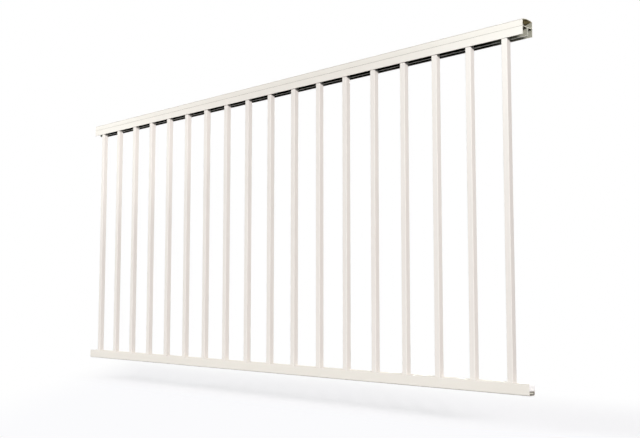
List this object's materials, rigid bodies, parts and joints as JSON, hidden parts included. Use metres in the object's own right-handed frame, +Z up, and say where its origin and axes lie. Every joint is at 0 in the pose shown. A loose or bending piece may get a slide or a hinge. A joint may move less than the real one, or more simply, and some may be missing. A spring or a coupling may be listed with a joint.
{
  "type": "deck railing section",
  "caption": "Straight white aluminium deck railing section: crowned two-piece top rail, slim bottom rail and square vertical pickets, ready to fix between posts.",
  "frame": {"origin": "on the bottom rail's left cut end, at mid depth of the rail and level with its underside", "axes": "+X along the rails from the left cut end to the right one, +Y from the front to the back, +Z up"},
  "size_m": [1.8288, 0.0429, 0.8469],
  "materials": {
    "rail_coating": "satin white powder coat; bare aluminium at the cut ends and inside the hollows",
    "picket_coating": "satin white powder coat"
  },
  "bodies": {
    "root": {"bottom_rail": "rail_coating", "top_rail_channel": "rail_coating", "top_rail_cap": "rail_coating", "picket_01": "picket_coating", "picket_02": "picket_coating", "picket_03": "picket_coating", "picket_04": "picket_coating", "picket_05": "picket_coating", "picket_06": "picket_coating", "picket_07": "picket_coating", "picket_08": "picket_coating", "picket_09": "picket_coating", "picket_10": "picket_coating", "picket_11": "picket_coating", "picket_12": "picket_coating", "picket_13": "picket_coating", "picket_14": "picket_coating", "picket_15": "picket_coating", "picket_16": "picket_coating", "picket_17": "picket_coating", "picket_18": "picket_coating"}
  },
  "joints": []
}
